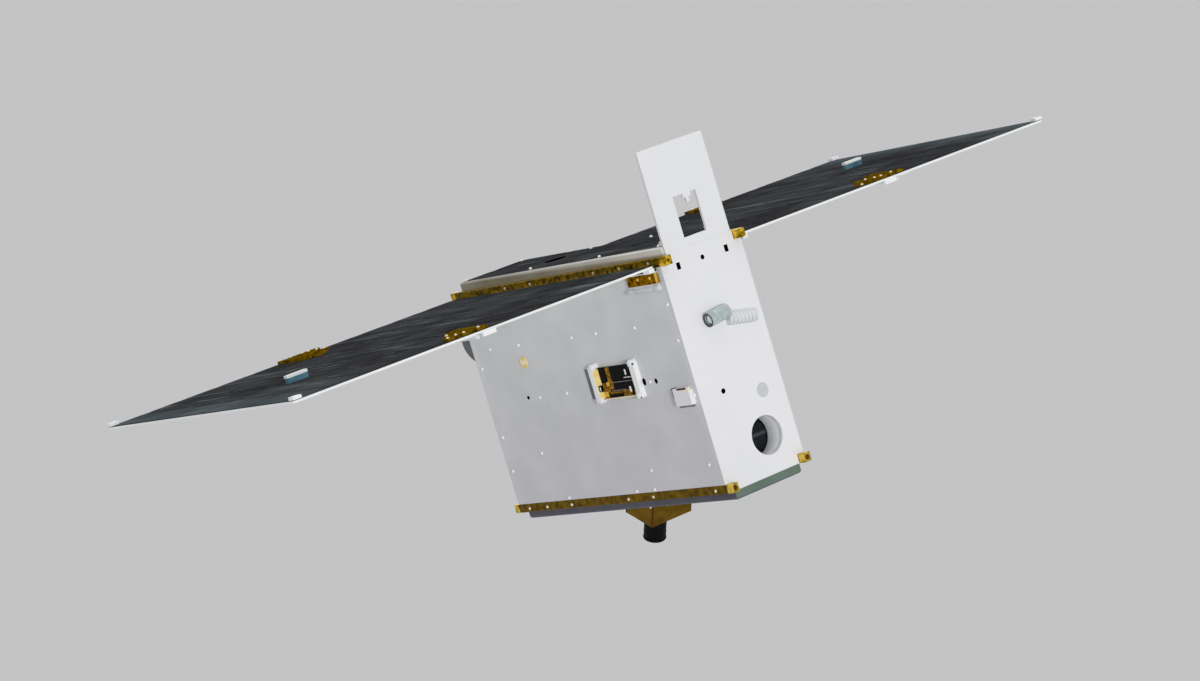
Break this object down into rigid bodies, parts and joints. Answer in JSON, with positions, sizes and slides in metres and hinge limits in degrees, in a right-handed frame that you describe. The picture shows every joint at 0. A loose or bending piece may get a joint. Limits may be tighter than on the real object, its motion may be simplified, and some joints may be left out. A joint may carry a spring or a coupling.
{
  "type": "nanosatellite with folding solar wings",
  "caption": "Small box satellite with gold corner rails, two folding solar wings, a hinged white flap, a tilted camera underneath and sensors on its end plate.",
  "frame": {"origin": "centre of the box between the four rails", "axes": "+X along the rails towards the white end plate, +Y towards the back panel, +Z out of the face that the wings open from"},
  "size_m": [0.3796, 0.93, 0.3758],
  "materials": {
    "gold_rail": "gold chromate conversion coat, satin",
    "white_paint": "matt white thermal paint",
    "grey_panel": "light grey satin coat",
    "under_grey": "dark grey satin coat",
    "cap_frame": "pale grey edge with a dark cell surface",
    "electronics": "closed electronics stack",
    "camera_black": "matt black",
    "lens_glass": "dark coated lens",
    "window_glass": "pale filter glass",
    "clear_tube": "grey-green glassy tube",
    "white_trim": "white plastic",
    "circuit_board": "dark board with gold tracks",
    "gold_fitting": "gold chromate conversion coat",
    "drum_metal": "grey satin",
    "gold_foil": "dull gold film",
    "wing_frame": "white edged laminate",
    "solar_cell": "dark grey glossy cells",
    "pillar_blue": "dark teal blue"
  },
  "bodies": {
    "bus": {"access_box": "grey_panel", "antenna_port": "gold_fitting", "avionics_block": "electronics", "deck_bottom": "grey_panel", "deck_top": "grey_panel", "end_plate_left": "grey_panel", "end_plate_right": "white_paint", "flap_hinge_blocks": "white_trim", "hold_down_board": "circuit_board", "hold_down_frame": "white_trim", "hold_down_seat_back": "circuit_board", "payload_housing": "gold_foil", "payload_lens": "camera_black", "rail_bottom_back": "gold_rail", "rail_bottom_front": "gold_rail", "rail_top_back": "gold_rail", "rail_top_front": "gold_rail", "root_block_back": "gold_fitting", "root_block_front": "gold_fitting", "sensor_seat": "white_trim", "sensor_tube": "clear_tube", "side_panel_back": "grey_panel", "side_panel_front": "grey_panel", "star_camera_barrel": "camera_black", "star_camera_lens": "lens_glass", "sun_window": "window_glass", "thruster_drum": "drum_metal", "top_cell_plate": "cap_frame", "under_plate": "under_grey"},
    "front_inner_wing": {"inner_panel_front": "wing_frame", "inner_cells_front": "solar_cell", "root_arm_front": "gold_fitting", "mid_hinge_inner_front": "gold_fitting", "hinge_tabs_front": "white_trim"},
    "front_outer_wing": {"outer_panel_front": "wing_frame", "outer_cells_front": "solar_cell", "mid_hinge_outer_front": "gold_fitting", "tip_blocks_front": "white_trim", "hold_down_pillar_front": "pillar_blue"},
    "back_inner_wing": {"inner_panel_back": "wing_frame", "inner_cells_back": "solar_cell", "root_arm_back": "gold_fitting", "mid_hinge_inner_back": "gold_fitting", "hinge_tabs_back": "white_trim"},
    "back_outer_wing": {"outer_panel_back": "wing_frame", "outer_cells_back": "solar_cell", "mid_hinge_outer_back": "gold_fitting", "tip_blocks_back": "white_trim", "hold_down_pillar_back": "pillar_blue"},
    "flap": {"flap": "white_paint", "flap_hinge_lugs": "white_trim"}
  },
  "joints": [
    {"name": "front_root_hinge", "type": "hinge", "parent": "bus", "child": "front_inner_wing", "pos_m": [0, -0.0532, 0.0866], "axis": [1, 0, 0], "range_deg": [0, 90]},
    {"name": "front_mid_hinge", "type": "hinge", "parent": "front_inner_wing", "child": "front_outer_wing", "pos_m": [0, -0.262, 0.1029], "axis": [1, 0, 0], "range_deg": [0, 180]},
    {"name": "back_root_hinge", "type": "hinge", "parent": "bus", "child": "back_inner_wing", "pos_m": [0, 0.0532, 0.0866], "axis": [-1, 0, 0], "range_deg": [0, 90]},
    {"name": "back_mid_hinge", "type": "hinge", "parent": "back_inner_wing", "child": "back_outer_wing", "pos_m": [0, 0.262, 0.1029], "axis": [-1, 0, 0], "range_deg": [0, 180]},
    {"name": "flap_hinge", "type": "hinge", "parent": "bus", "child": "flap", "pos_m": [0.15635, 0, 0.1236], "axis": [0, -1, 0], "range_deg": [0, 90]}
  ]
}
